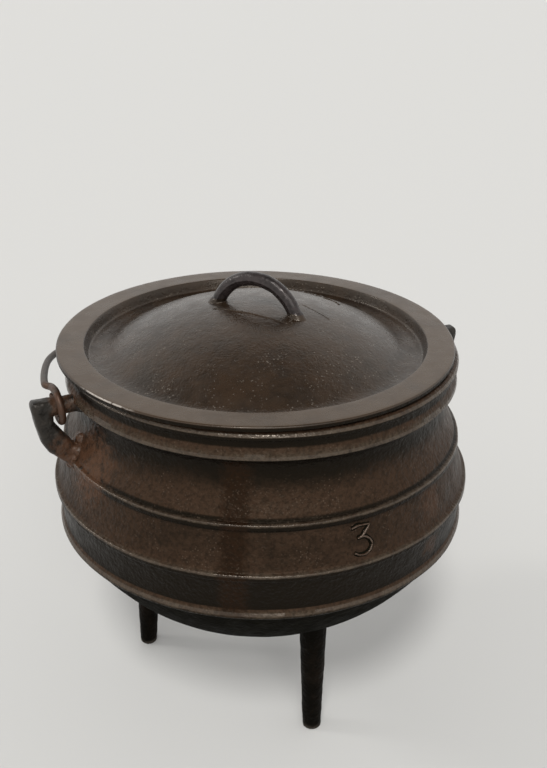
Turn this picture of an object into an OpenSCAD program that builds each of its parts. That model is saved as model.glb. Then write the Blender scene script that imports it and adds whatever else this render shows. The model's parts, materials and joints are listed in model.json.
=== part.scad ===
// Three-legged cast-iron pot with a domed lid and a wire bail. Millimetres, +Z up.
// Origin: on the pot's axis, at the floor. The ears lie along X, one leg points to -Y.

/* [Pot] */
// Outer diameter of the pot's rim
rim_d = 248; // [230:1:270]
// Width of the rim's flat top
rim_w = 8; // [7:0.5:10]
// Height of the rim's top above the floor
rim_z = 249.2; // [235:0.1:270]
// Height of the rim's lip
lip_h = 4; // [3:0.5:6]
// Rounding of the lip's outer edge
lip_round = 1.5; // [0.5:0.1:1.8]
// Depth of the cove under the lip
cove = 2; // [1:0.5:2.5]
// Wall thickness of the bowl
wall = 4.8; // [3.5:0.1:6]
// Thickness of the collar bead
collar_d = 6.4; // [5:0.2:8]
// Collar bead below the rim's top
collar_drop = 14; // [12:0.5:15]
// Waist inside the rim's radius
waist_in = 6.2; // [5.5:0.1:8]
// Waist below the rim's top
waist_drop = 26.2; // [24:0.1:28]
// Straight depth of the mouth that the lid drops into
mouth_depth = 9.2; // [8.6:0.1:11]
// Height of the bowl's underside above the floor
clear_z = 56; // [45:1:70]

/* [Belly ribs] */
// Upper rib below the rim's top
rib1_drop = 55.9; // [50:0.1:60]
// Wall at the upper rib outside the rim's radius
rib1_out = 2.8; // [1:0.1:4]
// Thickness of the upper rib
rib1_d = 3.6; // [3:0.1:5]
// Middle rib below the rim's top
rib2_drop = 84.2; // [80:0.1:90]
// Wall at the middle rib outside the rim's radius
rib2_out = 10.2; // [8:0.1:12]
// Thickness of the middle rib
rib2_d = 3.8; // [3:0.1:5]
// Lower rib below the rim's top
rib3_drop = 111; // [105:0.5:116]
// Wall at the lower rib outside the rim's radius
rib3_out = 8.4; // [6:0.1:10]
// Thickness of the lower rib
rib3_d = 4.2; // [3.6:0.1:6]

/* [Legs] */
// Distance of each foot from the pot's axis
foot_r = 84.5; // [75:0.5:90]
// Diameter of a leg at the foot
foot_d = 12.4; // [10:0.1:14]
// Diameter of a leg at the bowl
leg_root_d = 18; // [15:0.1:20]
// How far a leg leans out from its root to its foot
leg_lean = 3; // [0:0.5:6]
// Chamfer round the foot
foot_chamfer = 1; // [0.5:0.1:2]

/* [Ears] */
// Tip of an ear outside the rim's radius
ear_out = 25; // [23:0.5:28]
// Diameter of the round arm that carries the bail
arm_d = 11; // [9:0.1:12]
// Middle of the arm below the rim's top
arm_drop = 18.7; // [17:0.1:20]
// Thickness of the ear's web
web_t = 10; // [8:0.1:11]
// Width of the web under the arm's end
web_w = 12.6; // [10:0.1:13]
// Slope of the strut's upper edge
strut_slope = 55; // [50:1:60]
// Chamfer along the web's edges
ear_chamfer = 2.2; // [1:0.1:3]

/* [Lid] */
// Lid outside the rim's radius
lid_over = 1; // [0.5:0.1:3]
// Thickness of the lid's brim
brim_t = 4.3; // [3.5:0.1:6]
// Width of the flat brim
brim_w = 16.6; // [14:0.1:19]
// Wall thickness of the lid
lid_wall = 4.5; // [3.5:0.1:5]
// Depth of the channel inside the brim
channel_depth = 7; // [5:0.1:8]
// Slope of the channel's outer wall
channel_slope = 2; // [1:0.1:3]
// Radius that blends the channel into the dome
channel_round = 20; // [12:0.5:24]
// Where the dome would meet the channel's floor, inside the brim's inner edge
dome_in = 13.4; // [11:0.1:16]
// Height of the dome above the channel's floor
dome_h = 26.7; // [20:0.1:32]
// Gap between the lid and the rim's top
seat_gap = 0.3; // [0.2:0.05:0.5]
// Gap round the part of the lid that drops into the mouth
register_gap = 4; // [3.8:0.1:5]
// Loose lid off the pot's axis along X
lid_dx = -3.2; // [-3.3:0.1:3.3]
// Loose lid off the pot's axis along Y
lid_dy = 1.5; // [-1.5:0.1:1.5]
// Direction of the lid's handle
lid_turn = -52.5; // [-180:0.5:180]

/* [Lid handle] */
// Radius of the handle's arch at the middle of its rod
handle_r = 28.5; // [25:0.5:32]
// Thickness of the handle's rod
handle_d = 9.4; // [8:0.1:11]
// Middle of the arch below the dome's top
handle_sink = 11.4; // [8:0.1:14]
// Diameter of the boss at each end of the handle
handle_boss_d = 11; // [10:0.5:13]

/* [Bail] */
// Diameter of the bail's wire
wire_d = 4.5; // [3.5:0.1:5]
// How much thinner the wire is drawn at its legs and eyes
wire_draw = 0.1; // [0.05:0.05:0.3]
// Swell of the wire at the bend beside each eye
bend_swell = 0.3; // [0.2:0.1:0.6]
// Gap between the bail's eye and the arm
eye_gap = 2.05; // [1.5:0.05:2.2]
// Middle of an eye outside the rim's radius
eye_out = 8.8; // [8:0.05:9.2]
// Lean of the eye on its arm
eye_lean = 4; // [0:0.5:4.5]
// Turn of wire that makes the eye
eye_sweep = 298; // [270:1:299]
// Straight length of the bail's leg beside its eye
leg_rise = 6; // [4.5:0.5:8]
// Radius of the bend that steps the leg outward
step_r = 8; // [7:0.5:10]
// Angle of that outward step
step_a = 30; // [24:1:34]
// Radius of the bend that turns the leg back inward
return_r = 10; // [8:0.5:12]
// Inward lean of the leg above its bends
leg_in_a = 9; // [7:0.5:11]
// Radius of the leg's long curve
leg_r = 330; // [290:5:380]
// Inward lean of the leg where its shoulder begins
shoulder_a = 18; // [15:1:20]
// Radius of the shoulder between leg and crown
shoulder_r = 90; // [80:1:90]
// Lean of the wire where the shoulder meets the crown
crown_a = 75; // [73:1:77]
// Angle of the folded bail back from upright
bail_rest = 100; // [90:0.5:104]

/* [Hidden] */
fine = 180;
round_fn = 48;
iron = [0.16, 0.13, 0.11];
brown_iron = [0.24, 0.20, 0.17];
wire_grey = [0.33, 0.28, 0.25];

// Pot
rim_r = rim_d / 2;
mouth_r = rim_r - rim_w;
cove_r = rim_r - cove;
waist_r = rim_r - waist_in;
waist_z = rim_z - waist_drop;
collar_r = rim_r - collar_d / 2;
collar_z = rim_z - collar_drop;
rib1_r = rim_r + rib1_out;
rib1_z = rim_z - rib1_drop;
rib2_r = rim_r + rib2_out;
rib2_z = rim_z - rib2_drop;
rib3_r = rim_r + rib3_out;
rib3_z = rim_z - rib3_drop;
flare_dr = rib1_r - waist_r;
flare_dz = waist_z - rib1_z - rib1_d;
flare_r = (flare_dr * flare_dr + flare_dz * flare_dz) / (2 * flare_dr);
flare_a = asin(flare_dz / flare_r);
inner_flare_a = acos((flare_r + wall - flare_dr) / (flare_r + wall));
bowl_h = rib3_z - rib3_d / 2 - clear_z;
bowl_r = (rib3_r * rib3_r + bowl_h * bowl_h) / (2 * bowl_h);
bowl_cz = clear_z + bowl_r;
bowl_a = asin(rib3_r / bowl_r);
inner_a = asin((rib3_r - wall) / (bowl_r - wall));

// Legs
leg_top = bowl_cz - sqrt(bowl_r * bowl_r - pow(foot_r - leg_root_d, 2)) + leg_root_d;
leg_tilt = atan(leg_lean / leg_top);
below = 20;

// Ears
ear_x = rim_r + ear_out;
arm_z = rim_z - arm_drop;
arm_r = arm_d / 2;
web_x = ear_x - web_w;
elbow_x = ear_x - 4;
elbow_z = arm_z - 21.5;
chin_x = ear_x - 7.5;
chin_z = arm_z - 28;
throat_z = arm_z - arm_r - 5.5;
root_x = rib1_r - 8;
root_z = throat_z - (web_x - root_x) * tan(strut_slope);
heel_x = rib1_r + 0.5;
heel_z = rib1_z - 6.5;

// Lid
lid_r = rim_r + lid_over;
brim_under = rim_z + seat_gap;
brim_top = brim_under + brim_t;
brim_in = lid_r - brim_w;
floor_z = brim_top - channel_depth;
floor_r = brim_in - channel_slope;
dome_base = brim_in - dome_in;
dome_r = (dome_base * dome_base + dome_h * dome_h) / (2 * dome_h);
dome_cz = floor_z + dome_h - dome_r;
blend_cz = floor_z + channel_round;
blend_cr = sqrt(pow(dome_r + channel_round, 2) - pow(blend_cz - dome_cz, 2));
blend_a = atan2(blend_cz - dome_cz, blend_cr);
register_r = mouth_r - register_gap;
register_round = 2.5;
brim_round = 1.2;

// Lid handle
handle_z = floor_z + dome_h - handle_sink;
boss_x = handle_r - 1;
boss_z = dome_cz + sqrt(dome_r * dome_r - boss_x * boss_x);

// Bail
wire_r = wire_d / 2;
thin_r = (wire_d - wire_draw) / 2;
splice_a = 0.3;
lap_a = 2;
eye_r = arm_r + eye_gap + wire_r;
eye_x = rim_r + eye_out;
leg_x = eye_x + eye_r * sin(eye_lean);
leg_z = eye_r * cos(eye_lean);
return_cx = leg_x + step_r - (step_r + return_r) * cos(step_a);
return_cy = leg_rise + (step_r + return_r) * sin(step_a);
long_cx = return_cx - (leg_r - return_r) * cos(leg_in_a);
long_cy = return_cy - (leg_r - return_r) * sin(leg_in_a);
shoulder_cx = long_cx + (leg_r - shoulder_r) * cos(shoulder_a);
shoulder_cy = long_cy + (leg_r - shoulder_r) * sin(shoulder_a);
crown_r = shoulder_r + shoulder_cx / cos(crown_a);
crown_y = shoulder_cy + (shoulder_r - crown_r) * sin(crown_a);

function arc(cx, cy, r, a0, a1, n) =
    [for (i = [0 : n]) let (a = a0 + (a1 - a0) * i / n) [cx + r * cos(a), cy + r * sin(a)]];

// Outside of the wall from the rim down to the bottom, without the beads
function outer_line() = concat(
    arc(rim_r - lip_round, rim_z - lip_round, lip_round, 90, 0, 4),
    [[rim_r, rim_z - lip_h + lip_round / 2],
     [cove_r, rim_z - lip_h - lip_round / 2],
     [cove_r, collar_z],
     [waist_r + cove / 2, waist_z + collar_d],
     [waist_r, waist_z + cove]],
    arc(waist_r + flare_r, waist_z, flare_r, 180, 180 + flare_a, 10),
    [[rib1_r, rib1_z - rib1_d / 2], [rib2_r, rib2_z], [rib3_r, rib3_z]],
    arc(0, bowl_cz, bowl_r, bowl_a - 90, -90, 22));

// Inside of the wall from the bottom up to the mouth
function inner_line() = concat(
    arc(0, bowl_cz, bowl_r - wall, -90, inner_a - 90, 22),
    [[rib2_r - wall, rib2_z], [rib1_r - wall, rib1_z - rib1_d / 2]],
    arc(waist_r + flare_r, waist_z, flare_r + wall, 180 + inner_flare_a, 180, 10),
    [[mouth_r, rim_z - mouth_depth],
     [mouth_r, rim_z]]);

// One bead that stands round the wall
module bead(r, z, d) {
    rotate_extrude($fn = fine)
        translate([r, z]) circle(d = d, $fn = round_fn);
}

// A wall section turned round the axis, with its collar and ribs
module ribbed(section) {
    rotate_extrude($fn = fine) polygon(section);
    bead(collar_r, collar_z, collar_d);
    bead(rib1_r, rib1_z, rib1_d);
    bead(rib2_r, rib2_z, rib2_d);
    bead(rib3_r, rib3_z, rib3_d);
}

// Solid outline of the bowl, which the legs and ears are cut back to
module bowl_envelope() {
    ribbed(concat([[0, rim_z]], outer_line()));
}

module pot_bowl() {
    color(iron) ribbed(concat(outer_line(), inner_line()));
}

// One chamfered bar of the ear's web, in the XZ plane
module web_bar(outline) {
    hull() {
        rotate([90, 0, 0])
            linear_extrude(web_t - 2 * ear_chamfer, center = true) polygon(outline);
        rotate([90, 0, 0])
            linear_extrude(web_t, center = true) offset(delta = -ear_chamfer) polygon(outline);
    }
}

module ear() {
    color(iron)
        difference() {
            union() {
                translate([waist_r - wall / 2, 0, arm_z])
                    rotate([0, 90, 0])
                        cylinder(d = arm_d, h = ear_x - 3 - waist_r + wall / 2, $fn = round_fn);
                web_bar([[web_x, arm_z + arm_r - 0.2],
                         [ear_x - 1, arm_z + arm_r - 0.2],
                         [ear_x, arm_z + arm_r - 2],
                         [ear_x, arm_z],
                         [elbow_x, elbow_z],
                         [chin_x, chin_z],
                         [web_x, throat_z]]);
                web_bar([[web_x, throat_z],
                         [web_x + 1, throat_z + 1.5],
                         [elbow_x, elbow_z],
                         [chin_x, chin_z],
                         [heel_x, heel_z],
                         [root_x, root_z]]);
            }
            bowl_envelope();
        }
}

module leg(direction) {
    color(iron)
        rotate([0, 0, direction])
            difference() {
                translate([foot_r, 0, 0])
                    rotate([0, -leg_tilt, 0])
                        union() {
                            translate([0, 0, foot_chamfer])
                                cylinder(d1 = foot_d, d2 = leg_root_d, h = leg_top, $fn = round_fn);
                            translate([0, 0, -foot_chamfer])
                                cylinder(d1 = foot_d - 4 * foot_chamfer, d2 = foot_d,
                                         h = 2 * foot_chamfer, $fn = round_fn);
                        }
                translate([0, -below, -2 * below])
                    cube([foot_r + 2 * below, 2 * below, 2 * below]);
                bowl_envelope();
            }
}

// Top of the lid from the brim's edge in to the middle
function lid_top() = concat(
    arc(lid_r - brim_round, brim_top - brim_round, brim_round, 0, 90, 4),
    [[brim_in + 0.5, brim_top],
     [brim_in, brim_top - 0.5],
     [floor_r, floor_z + 1.5],
     [floor_r - 1.5, floor_z]],
    arc(blend_cr, blend_cz, channel_round, -90, blend_a - 180, 8),
    arc(0, dome_cz, dome_r, blend_a, 90, 24));

// Underside of the lid from the middle out to the brim's edge
function lid_under() = concat(
    arc(0, dome_cz, dome_r - lid_wall, 90, blend_a, 24),
    arc(blend_cr, blend_cz, channel_round + lid_wall, blend_a - 180, -90, 8),
    arc(register_r - register_round, floor_z - lid_wall + register_round, register_round, -90, 0, 4),
    [[register_r, brim_under],
     [lid_r, brim_under]]);

module lid_plate() {
    color(brown_iron)
        translate([lid_dx, lid_dy, 0])
            rotate_extrude($fn = fine)
                polygon(concat(lid_top(), lid_under()));
}

module lid_handle() {
    color(brown_iron)
        translate([lid_dx, lid_dy, 0])
            rotate([0, 0, lid_turn])
                difference() {
                    union() {
                        translate([0, 0, handle_z])
                            rotate([90, 0, 0])
                                rotate_extrude($fn = fine)
                                    translate([handle_r, 0]) circle(d = handle_d, $fn = round_fn);
                        for (side = [-1, 1])
                            translate([side * boss_x, 0, boss_z])
                                sphere(d = handle_boss_d, $fn = round_fn);
                    }
                    rotate_extrude($fn = fine)
                        polygon(concat(lid_top(), [[0, handle_z - 2 * handle_r], [lid_r, handle_z - 2 * handle_r]]));
                }
}

module bail_arc(cx, cy, r, a0, a1, tube_r) {
    translate([cx, cy, leg_z])
        rotate_extrude(angle = a1 - a0, start = a0, $fn = fine)
            translate([r, 0]) circle(r = tube_r, $fn = round_fn);
}

// One side of the bail, laid in the XY plane: eye, leg with its outward step, and shoulder
module bail_side() {
    translate([eye_x, 0, 0])
        rotate([0, eye_lean, 0])
            rotate([90, 0, 90])
                rotate_extrude(angle = eye_sweep, start = 90, $fn = fine / 2)
                    translate([eye_r, 0]) circle(r = thin_r, $fn = round_fn);
    translate([leg_x, 0, leg_z])
        sphere(d = wire_d + bend_swell, $fn = round_fn);
    translate([leg_x, 0, leg_z])
        rotate([-90, 0, 0])
            cylinder(r = thin_r, h = leg_rise + wire_draw, $fn = round_fn);
    bail_arc(leg_x + step_r, leg_rise, step_r, 180 - step_a, 180, wire_r);
    bail_arc(return_cx, return_cy, return_r, -step_a - lap_a, leg_in_a + lap_a, thin_r);
    bail_arc(long_cx, long_cy, leg_r, leg_in_a, shoulder_a, wire_r);
    bail_arc(shoulder_cx, shoulder_cy, shoulder_r, shoulder_a - splice_a, crown_a + splice_a, thin_r);
}

module bail() {
    color(wire_grey)
        translate([0, 0, arm_z])
            rotate([90 - bail_rest, 0, 0]) {
                bail_side();
                mirror([1, 0, 0]) bail_side();
                bail_arc(0, crown_y, crown_r, crown_a, 180 - crown_a, wire_r);
            }
}

pot_bowl();
rotate([0, 0, 180]) ear();  // left_ear
ear();  // right_ear
leg(-90);  // front_leg
leg(150);  // left_leg
leg(30);  // right_leg
lid_plate();
lid_handle();
bail();
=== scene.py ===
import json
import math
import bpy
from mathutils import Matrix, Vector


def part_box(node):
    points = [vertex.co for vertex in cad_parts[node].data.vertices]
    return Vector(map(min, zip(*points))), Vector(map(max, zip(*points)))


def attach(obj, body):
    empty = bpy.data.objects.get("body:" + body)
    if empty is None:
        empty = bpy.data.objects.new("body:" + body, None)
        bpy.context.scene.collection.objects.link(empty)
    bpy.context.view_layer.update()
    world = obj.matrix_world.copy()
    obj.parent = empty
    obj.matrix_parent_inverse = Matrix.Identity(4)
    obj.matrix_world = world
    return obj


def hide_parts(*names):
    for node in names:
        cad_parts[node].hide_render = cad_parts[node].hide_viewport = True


bl_info = {
    "name": "Three-legged iron pot",
    "version": (1, 0, 0),
    "blender": (4, 5, 0),
    "location": "View3D > Sidebar > Iron Pot",
    "description": "Dresses the packed cooking pot with its cast, seasoned and worn surfaces",
    "category": "Object",
}

import bmesh
import bpy
from bpy.props import FloatProperty, FloatVectorProperty, IntProperty, PointerProperty
from mathutils import Matrix, Vector, noise

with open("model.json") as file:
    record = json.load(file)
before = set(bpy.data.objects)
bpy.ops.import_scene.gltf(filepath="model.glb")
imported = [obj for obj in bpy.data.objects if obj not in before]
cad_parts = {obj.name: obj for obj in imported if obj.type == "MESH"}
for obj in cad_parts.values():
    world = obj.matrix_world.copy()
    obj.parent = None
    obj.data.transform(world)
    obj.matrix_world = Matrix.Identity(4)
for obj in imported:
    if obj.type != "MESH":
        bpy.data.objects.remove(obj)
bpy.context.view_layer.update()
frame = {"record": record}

MM = 0.001
JOINTS = {joint["name"]: joint for joint in frame["record"]["behaviour"]["joints"]}
ARM_Z = JOINTS["bail_swing"]["pos_m"][2]


def height_of(node):
    """Highest point of a CAD node at rest, in metres."""
    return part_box(node)[1][2]


def middle_of(node):
    """Middle of a CAD node's box, as a vector."""
    low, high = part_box(node)
    return (Vector(low) + Vector(high)) / 2


RIM_Z = height_of("pot_bowl")
BOWL_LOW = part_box("pot_bowl")[0][2]
LID_MIDDLE = middle_of("lid_plate")
LID_RADIUS = (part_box("lid_plate")[1][0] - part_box("lid_plate")[0][0]) / 2
LID_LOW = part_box("lid_plate")[0][2]
EAR_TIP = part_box("right_ear")[1][0]
SOOT_Z = 135.6 * MM
FIGURE_TURN = -89.3
CRESTS = ((RIM_Z / MM - 0.4, RIM_Z / MM - 1.0, RIM_Z / MM - 2.4), (RIM_Z / MM - 10.6, RIM_Z / MM - 14.2, RIM_Z / MM - 17.4),
          (195.9, 195.0, 193.8), (167.9, 167.0, 165.6), (141.2, 138.9, 135.8))


class PotSizes(bpy.types.PropertyGroup):
    """Sizes of the pot casting that are not read from the frame"""

    belly_radius: FloatProperty(name="Belly radius", description="Radius of the sphere of the bowl's bottom",
                                default=149.47 * MM, unit="LENGTH")
    foot_circle: FloatProperty(name="Foot circle", description="Radius of the circle through the feet",
                               default=84.5 * MM, unit="LENGTH")
    foot_radius: FloatProperty(name="Foot radius", description="Radius of a leg at the floor",
                               default=6.1 * MM, unit="LENGTH")
    cast_waver: FloatProperty(name="Cast waver", description="How far the cast skin wanders from true",
                              default=0.2 * MM, unit="LENGTH")
    turns: IntProperty(name="Steps round", description="Steps of the surface round the axis", default=288)


class LidSizes(bpy.types.PropertyGroup):
    """Sizes of the lid casting that are not read from the frame"""

    brim_width: FloatProperty(name="Brim width", description="Width of the flat brim",
                              default=17.0 * MM, unit="LENGTH")
    dome_radius: FloatProperty(name="Dome radius", description="Radius of the dome's sphere",
                               default=182.4 * MM, unit="LENGTH")
    handle_radius: FloatProperty(name="Handle radius", description="Radius of the handle's arch",
                                 default=28.5 * MM, unit="LENGTH")
    handle_rod: FloatProperty(name="Handle rod", description="Thickness of the handle's rod",
                              default=9.4 * MM, unit="LENGTH")
    handle_turn: FloatProperty(name="Handle turn", description="Direction of the handle",
                               default=math.radians(-52.5), subtype="ANGLE")


class BailSizes(bpy.types.PropertyGroup):
    """Sizes of the wire bail"""

    wire: FloatProperty(name="Wire", description="Diameter of the wire", default=4.5 * MM, unit="LENGTH")
    eye_radius: FloatProperty(name="Eye radius", description="Radius of an eye at the wire's middle",
                              default=9.8 * MM, unit="LENGTH")
    eye_reach: FloatProperty(name="Eye reach", description="Distance of each eye from the pot's axis",
                             default=132.8 * MM, unit="LENGTH")
    eye_lean: FloatProperty(name="Eye lean", description="Lean of an eye on its arm",
                            default=math.radians(4), subtype="ANGLE")
    rise: FloatProperty(name="Rise", description="Straight length of the wire beside an eye",
                        default=6 * MM, unit="LENGTH")
    folded: FloatProperty(name="Folded", description="Angle of the folded bail back from upright",
                          default=math.radians(100), subtype="ANGLE")


class Finishes(bpy.types.PropertyGroup):
    """Colours of the finishes"""

    soot: FloatVectorProperty(name="Soot", description="Burnt-on black under the belly and on the legs",
                              subtype="COLOR", default=(0.0038, 0.0034, 0.0022))
    oiled: FloatVectorProperty(name="Oiled iron", description="Oil-black iron",
                               subtype="COLOR", default=(0.0035, 0.0024, 0.0014))
    # The bloom is laid on faces that look up, so this brown is partly painted light from above.
    bloom: FloatVectorProperty(name="Brown bloom", description="Brown bloom where old oil settled",
                               subtype="COLOR", default=(0.034, 0.0190, 0.0115))
    # Partly a painted highlight: this lighter colour goes only on outward crest faces that do not look down.
    crest: FloatVectorProperty(name="Worn crest", description="Rubbed tops of the ribs and the collar",
                               subtype="COLOR", default=(0.054, 0.040, 0.028))
    # Laid only on faces that look up, so this brown is partly painted light from above.
    lid_bloom: FloatVectorProperty(name="Lid bloom", description="Thin brown oil film on the lid",
                                   subtype="COLOR", default=(0.029, 0.0160, 0.0082))
    rust: FloatVectorProperty(name="Rust", description="Rust round the ears and eyes",
                              subtype="COLOR", default=(0.064, 0.031, 0.017))
    wire: FloatVectorProperty(name="Wire", description="Fire-darkened steel wire",
                              subtype="COLOR", default=(0.075, 0.058, 0.047))
    floor: FloatVectorProperty(name="Floor", description="Pale studio floor",
                               subtype="COLOR", default=(0.62, 0.62, 0.61))


def rounded_line(corners, longest):
    """Turns corners (r, z, fillet), in mm, into points in metres along a line with rounded corners."""
    points = []
    count = len(corners)
    for index, (r, z, fillet) in enumerate(corners):
        here = Vector((r, z))
        if fillet <= 0 or index in (0, count - 1):
            points.append(here)
            continue
        back = Vector(corners[index - 1][:2]) - here
        ahead = Vector(corners[index + 1][:2]) - here
        angle = back.angle(ahead)
        reach = min(fillet / math.tan(angle / 2), 0.48 * back.length, 0.48 * ahead.length)
        start = here + back.normalized() * reach
        end = here + ahead.normalized() * reach
        steps = max(2, int((math.pi - angle) / math.radians(15)))
        for step in range(steps + 1):
            t = step / steps
            points.append(start * (1 - t) ** 2 + here * 2 * t * (1 - t) + end * t ** 2)
    line = [points[0]]
    for point in points[1:]:
        gap = (point - line[-1]).length
        if gap < 0.02:
            continue
        pieces = max(1, math.ceil(gap / longest))
        start = line[-1]
        for piece in range(1, pieces + 1):
            line.append(start.lerp(point, piece / pieces))
    return [Vector((p.x, 0, p.y)) * MM for p in line]


def arc_corners(centre_r, centre_z, radius, start, end, steps):
    """Points (r, z, 0) of an arc, in mm and degrees."""
    corners = []
    for step in range(steps + 1):
        a = math.radians(start + (end - start) * step / steps)
        corners.append((centre_r + radius * math.cos(a), centre_z + radius * math.sin(a), 0))
    return corners


def outer_corners():
    """The bowl's outside from the rim's inner edge down to the bottom, in mm."""
    rim = RIM_Z / MM
    flare_middle = 160.1
    flare_radius = 42.3
    bowl_radius = 149.47
    bowl_middle = BOWL_LOW / MM + bowl_radius
    bowl_start = math.degrees(math.asin(132.4 / bowl_radius)) - 90
    return ([(116.0, rim, 1.0), (121.9, rim, 0.9), (123.2, rim - 0.9, 0.3), (124.2, rim - 2.2, 0.5), (124.1, rim - 4.3, 0.8),
             (122.0, rim - 5.4, 1.2), (121.9, rim - 9.6, 3.0), (123.3, rim - 12.4, 3.0),
             (124.5, rim - 16.2, 0.8), (122.4, rim - 17.8, 1.0), (120.0, rim - 19.0, 4.0)]
            + arc_corners(flare_middle, rim - 26.2, flare_radius, 176, 210, 11)
            + [(125.6, 198.0, 1.0), (126.2, 195.8, 0.5), (128.6, 194.9, 1.0), (128.7, 191.4, 1.4),
               (127.1, 190.6, 0.9),
               (128.9, 184.0, 8.0), (131.2, 176.0, 8.0), (134.0, 167.6, 1.6),
               (136.3, 166.8, 1.5), (136.3, 162.9, 1.5), (133.9, 162.4, 0.9),
               (133.0, 151.0, 12.0), (132.6, 141.6, 1.2), (134.8, 138.2, 1.2), (134.6, 136.2, 1.2),
               (132.4, 135.6, 0.9)]
            + arc_corners(0, bowl_middle, bowl_radius, bowl_start - 1, -90, 40))


def inner_corners():
    """The bowl's inside from the bottom up to the mouth, in mm."""
    rim = RIM_Z / MM
    bowl_radius = 149.47 - 4.8
    bowl_middle = BOWL_LOW / MM + 149.47
    bowl_end = math.degrees(math.asin(127.6 / bowl_radius)) - 90
    return (arc_corners(0, bowl_middle, bowl_radius, -90, bowl_end, 40)
            + [(129.2, 151.0, 20.0), (129.4, 165.0, 20.0), (122.2, 191.5, 12.0), (122.0, 195.3, 6.0)]
            + arc_corners(160.1, rim - 26.2, 47.1, 214, 180, 8)
            + [(116.0, rim - 9.2, 3.0), (116.0, rim, 0.0)])


def line_to_bmesh(points):
    """A bmesh that holds one open line of edges."""
    bm = bmesh.new()
    verts = [bm.verts.new(point) for point in points]
    for first, second in zip(verts, verts[1:]):
        bm.edges.new((first, second))
    return bm


def spin_line(bm, steps, angle=2 * math.pi):
    """Turns the line in bm round +Z."""
    full = angle >= 2 * math.pi
    bmesh.ops.spin(bm, geom=bm.verts[:] + bm.edges[:], cent=(0, 0, 0), axis=(0, 0, 1), dvec=(0, 0, 0),
                   angle=angle, steps=steps, use_merge=full, use_normal_flip=False, use_duplicate=False)
    bmesh.ops.remove_doubles(bm, verts=bm.verts[:], dist=0.004 * MM)
    bmesh.ops.dissolve_degenerate(bm, edges=bm.edges[:], dist=0.001 * MM)


def waver(bm, amount, size, seed):
    """Moves the skin in and out a little, as cast iron wanders from true."""
    bm.normal_update()
    shift = Vector((seed, seed * 0.37, seed * 0.71))
    for vert in bm.verts:
        broad = noise.noise(vert.co / size + shift)
        fine = noise.noise(vert.co / (size * 0.3) + shift * 2)
        vert.co += vert.normal * amount * (broad + 0.35 * fine)


def finish_object(name, bm, material, smooth_angle=None):
    """Makes bm a smooth-shaded object at the origin with its material."""
    mesh = bpy.data.meshes.new(name)
    for face in bm.faces:
        face.smooth = True
    bm.to_mesh(mesh)
    bm.free()
    mesh.materials.append(material)
    if smooth_angle is not None:
        mesh.set_sharp_from_angle(angle=smooth_angle)
    piece = bpy.data.objects.new(name, mesh)
    bpy.context.scene.collection.objects.link(piece)
    return piece


def dress(piece, body, slot, *nodes):
    """Puts a finished piece on its body and hides the CAD nodes that it stands for."""
    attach(piece, body)
    if nodes:
        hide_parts(*nodes)


def melt(bm, voxel, passes):
    """Fuses the overlapping closed shells in bm into one skin with soft cast corners."""
    mesh = bpy.data.meshes.new("melt")
    bm.to_mesh(mesh)
    bm.free()
    blank = bpy.data.objects.new("melt", mesh)
    bpy.context.scene.collection.objects.link(blank)
    remesh = blank.modifiers.new("Fuse", "REMESH")
    remesh.mode = "VOXEL"
    remesh.voxel_size = voxel
    remesh.adaptivity = 0
    soften = blank.modifiers.new("Soften", "SMOOTH")
    soften.factor = 0.5
    soften.iterations = passes
    bpy.context.view_layer.update()
    graph = bpy.context.evaluated_depsgraph_get()
    fused = bpy.data.meshes.new_from_object(blank.evaluated_get(graph))
    result = bmesh.new()
    result.from_mesh(fused)
    bpy.data.objects.remove(blank)
    bpy.data.meshes.remove(mesh)
    bpy.data.meshes.remove(fused)
    return result


def rod(bm, start, end, radius_start, radius_end, segments=48):
    """Adds a closed round rod between two points."""
    axis = end - start
    turn = axis.to_track_quat("Z", "Y").to_matrix().to_4x4()
    place = Matrix.Translation((start + end) / 2) @ turn
    bmesh.ops.create_cone(bm, cap_ends=True, cap_tris=False, segments=segments, radius1=radius_start,
                          radius2=radius_end, depth=axis.length, matrix=place)


def plate(bm, outline, thickness, chamfer):
    """Adds a plate in the XZ plane with bevelled edges, from its outline in mm."""
    verts = [bm.verts.new(Vector((x, -thickness / 2, z)) * MM) for x, z in outline]
    face = bm.faces.new(verts)
    grown = bmesh.ops.extrude_face_region(bm, geom=[face])
    moved = [item for item in grown["geom"] if isinstance(item, bmesh.types.BMVert)]
    bmesh.ops.translate(bm, verts=moved, vec=Vector((0, thickness, 0)) * MM)
    shell = set(verts + moved)
    edges = [edge for edge in bm.edges if edge.verts[0] in shell and edge.verts[1] in shell]
    long_edges = [edge for edge in edges
                  if abs(edge.verts[0].co.y - edge.verts[1].co.y) < 0.1 * thickness * MM]
    bmesh.ops.bevel(bm, geom=long_edges, offset=chamfer * MM, segments=3, profile=0.5,
                    affect="EDGES", material=-1)
    bmesh.ops.recalc_face_normals(bm, faces=bm.faces[:])


def wall_patch(bm, low, high, direction, spread, sink):
    """Adds a closed piece of the bowl's wall, sunk a little below its outside, for a root to grow from."""
    outer = [p for p in rounded_line(outer_corners(), 1.5) if low * MM <= p.z <= high * MM]
    patch = bmesh.new()
    ring = [patch.verts.new(Vector((p.x - sink * MM, 0, p.z))) for p in outer]
    ring += [patch.verts.new(Vector((p.x - 4.0 * MM, 0, p.z))) for p in reversed(outer)]
    edges = [patch.edges.new((a, b)) for a, b in zip(ring, ring[1:] + ring[:1])]
    bmesh.ops.contextual_create(patch, geom=edges)
    bmesh.ops.rotate(patch, verts=patch.verts[:], cent=(0, 0, 0),
                     matrix=Matrix.Rotation(direction - spread, 3, "Z"))
    bmesh.ops.spin(patch, geom=patch.faces[:], cent=(0, 0, 0), axis=(0, 0, 1), dvec=(0, 0, 0),
                   angle=2 * spread, steps=24, use_merge=False, use_normal_flip=False,
                   use_duplicate=False)
    bmesh.ops.recalc_face_normals(patch, faces=patch.faces[:])
    join_bmesh(bm, patch)


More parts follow.
